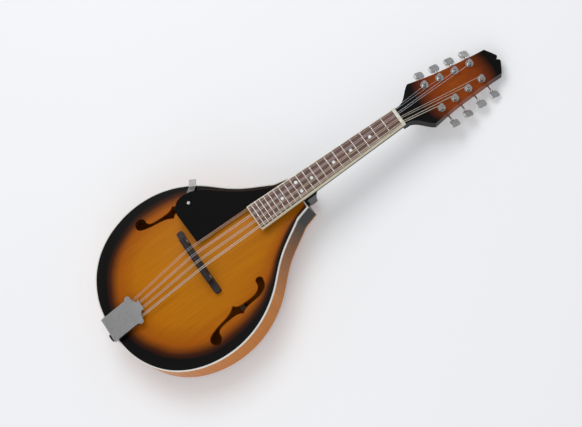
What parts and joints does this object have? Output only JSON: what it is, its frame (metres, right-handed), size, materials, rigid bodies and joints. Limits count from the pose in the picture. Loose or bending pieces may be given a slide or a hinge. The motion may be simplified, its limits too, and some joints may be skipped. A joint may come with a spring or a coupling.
{
  "type": "mandolin",
  "caption": "Teardrop arch-top mandolin with f-holes, floating bridge, sliding tailpiece cover, raised pickguard and geared tuners, set up left-handed.",
  "frame": {"origin": "on the centre line in the plane of the back, under the bridge", "axes": "+X across towards the thick strings, +Y towards the head, +Z out of the soundboard"},
  "size_m": [0.27, 0.6886, 0.0936],
  "materials": {
    "sunburst_top": "gloss",
    "amber_back": "gloss",
    "amber_rib": "gloss",
    "ivory_binding": "gloss",
    "pale_wood": "raw",
    "dark_neck": "gloss",
    "rosewood": "satin",
    "cream_binding": "satin",
    "fret_metal": "polished",
    "pearl": "gloss",
    "bone": "satin",
    "ebony": "satin",
    "nickel": "polished",
    "satin_nickel": "satin",
    "brass": "satin",
    "string_steel": "plain",
    "wound_metal": "wound",
    "guard_black": "gloss",
    "black_plastic": "gloss"
  },
  "bodies": {
    "instrument": {"soundboard": "sunburst_top", "back_plate": "amber_back", "rib_left": "amber_rib", "rib_right": "amber_rib", "top_binding": "ivory_binding", "top_lining": "pale_wood", "bottom_lining": "pale_wood", "neck_block": "pale_wood", "tail_block": "pale_wood", "tone_bars": "pale_wood", "back_braces": "pale_wood", "neck": "dark_neck", "heel_cap": "black_plastic", "fingerboard": "rosewood", "fingerboard_binding": "cream_binding", "frets": "fret_metal", "position_dots": "pearl", "nut": "bone", "bridge_base": "ebony", "bridge_posts": "nickel", "plain_strings": "string_steel", "wound_strings": "wound_metal", "tailpiece_base": "nickel", "tailpiece_screws": "nickel", "strap_button": "black_plastic", "pickguard": "guard_black", "pickguard_bracket": "nickel", "pickguard_screw": "nickel", "tuner_bushings": "nickel", "tuner_plate_left": "nickel", "tuner_plate_right": "nickel", "tuner_screws": "nickel"},
    "string_post_1": {"tuner_post_1": "nickel", "tuner_gear_1": "brass"},
    "knob_1": {"tuner_knob_1": "satin_nickel"},
    "string_post_2": {"tuner_post_2": "nickel", "tuner_gear_2": "brass"},
    "knob_2": {"tuner_knob_2": "satin_nickel"},
    "string_post_3": {"tuner_post_3": "nickel", "tuner_gear_3": "brass"},
    "knob_3": {"tuner_knob_3": "satin_nickel"},
    "string_post_4": {"tuner_post_4": "nickel", "tuner_gear_4": "brass"},
    "knob_4": {"tuner_knob_4": "satin_nickel"},
    "string_post_5": {"tuner_post_5": "nickel", "tuner_gear_5": "brass"},
    "knob_5": {"tuner_knob_5": "satin_nickel"},
    "string_post_6": {"tuner_post_6": "nickel", "tuner_gear_6": "brass"},
    "knob_6": {"tuner_knob_6": "satin_nickel"},
    "string_post_7": {"tuner_post_7": "nickel", "tuner_gear_7": "brass"},
    "knob_7": {"tuner_knob_7": "satin_nickel"},
    "string_post_8": {"tuner_post_8": "nickel", "tuner_gear_8": "brass"},
    "knob_8": {"tuner_knob_8": "satin_nickel"},
    "bridge_top": {"bridge_saddle": "ebony", "thumbwheel_left": "nickel", "thumbwheel_right": "nickel"},
    "tailpiece_lid": {"tailpiece_cover": "satin_nickel"}
  },
  "joints": [
    {"name": "knob_turn_1", "type": "hinge", "parent": "instrument", "child": "knob_1", "pos_m": [-0.022, 0.40864, 0.01234], "axis": [1, 0, 0], "continuous": true},
    {"name": "post_turn_1", "type": "hinge", "parent": "instrument", "child": "string_post_1", "pos_m": [-0.022, 0.40664, 0.03099], "axis": [0, 0.2723, 0.9622], "continuous": true},
    {"name": "knob_turn_2", "type": "hinge", "parent": "instrument", "child": "knob_2", "pos_m": [-0.01967, 0.43202, 0.00572], "axis": [1, 0, 0], "continuous": true},
    {"name": "post_turn_2", "type": "hinge", "parent": "instrument", "child": "string_post_2", "pos_m": [-0.01967, 0.43003, 0.02437], "axis": [0, 0.2723, 0.9622], "continuous": true},
    {"name": "knob_turn_3", "type": "hinge", "parent": "instrument", "child": "knob_3", "pos_m": [-0.01733, 0.45541, -0.0009], "axis": [1, 0, 0], "continuous": true},
    {"name": "post_turn_3", "type": "hinge", "parent": "instrument", "child": "string_post_3", "pos_m": [-0.01733, 0.45341, 0.01775], "axis": [0, 0.2723, 0.9622], "continuous": true},
    {"name": "knob_turn_4", "type": "hinge", "parent": "instrument", "child": "knob_4", "pos_m": [-0.015, 0.47879, -0.00751], "axis": [1, 0, 0], "continuous": true},
    {"name": "post_turn_4", "type": "hinge", "parent": "instrument", "child": "string_post_4", "pos_m": [-0.015, 0.47679, 0.01114], "axis": [0, 0.2723, 0.9622], "continuous": true},
    {"name": "knob_turn_5", "type": "hinge", "parent": "instrument", "child": "knob_5", "pos_m": [0.022, 0.40864, 0.01234], "axis": [1, 0, 0], "continuous": true},
    {"name": "post_turn_5", "type": "hinge", "parent": "instrument", "child": "string_post_5", "pos_m": [0.022, 0.40664, 0.03099], "axis": [0, 0.2723, 0.9622], "continuous": true},
    {"name": "knob_turn_6", "type": "hinge", "parent": "instrument", "child": "knob_6", "pos_m": [0.01967, 0.43202, 0.00572], "axis": [1, 0, 0], "continuous": true},
    {"name": "post_turn_6", "type": "hinge", "parent": "instrument", "child": "string_post_6", "pos_m": [0.01967, 0.43003, 0.02437], "axis": [0, 0.2723, 0.9622], "continuous": true},
    {"name": "knob_turn_7", "type": "hinge", "parent": "instrument", "child": "knob_7", "pos_m": [0.01733, 0.45541, -0.0009], "axis": [1, 0, 0], "continuous": true},
    {"name": "post_turn_7", "type": "hinge", "parent": "instrument", "child": "string_post_7", "pos_m": [0.01733, 0.45341, 0.01775], "axis": [0, 0.2723, 0.9622], "continuous": true},
    {"name": "knob_turn_8", "type": "hinge", "parent": "instrument", "child": "knob_8", "pos_m": [0.015, 0.47879, -0.00751], "axis": [1, 0, 0], "continuous": true},
    {"name": "post_turn_8", "type": "hinge", "parent": "instrument", "child": "string_post_8", "pos_m": [0.015, 0.47679, 0.01114], "axis": [0, 0.2723, 0.9622], "continuous": true},
    {"name": "saddle_height", "type": "slide", "parent": "instrument", "child": "bridge_top", "axis": [0, 0, 1], "range_m": [-0.001, 0.002], "deforming": ["plain_strings", "wound_strings"]},
    {"name": "cover_slide", "type": "slide", "parent": "instrument", "child": "tailpiece_lid", "axis": [0, -0.9962, -0.0872], "range_m": [0, 0.05]}
  ],
  "couplings": [
    {"joint": "post_turn_1", "follows": "knob_turn_1", "ratio": 0.071429},
    {"joint": "post_turn_2", "follows": "knob_turn_2", "ratio": 0.071429},
    {"joint": "post_turn_3", "follows": "knob_turn_3", "ratio": 0.071429},
    {"joint": "post_turn_4", "follows": "knob_turn_4", "ratio": 0.071429},
    {"joint": "post_turn_5", "follows": "knob_turn_5", "ratio": 0.071429},
    {"joint": "post_turn_6", "follows": "knob_turn_6", "ratio": 0.071429},
    {"joint": "post_turn_7", "follows": "knob_turn_7", "ratio": 0.071429},
    {"joint": "post_turn_8", "follows": "knob_turn_8", "ratio": 0.071429}
  ]
}
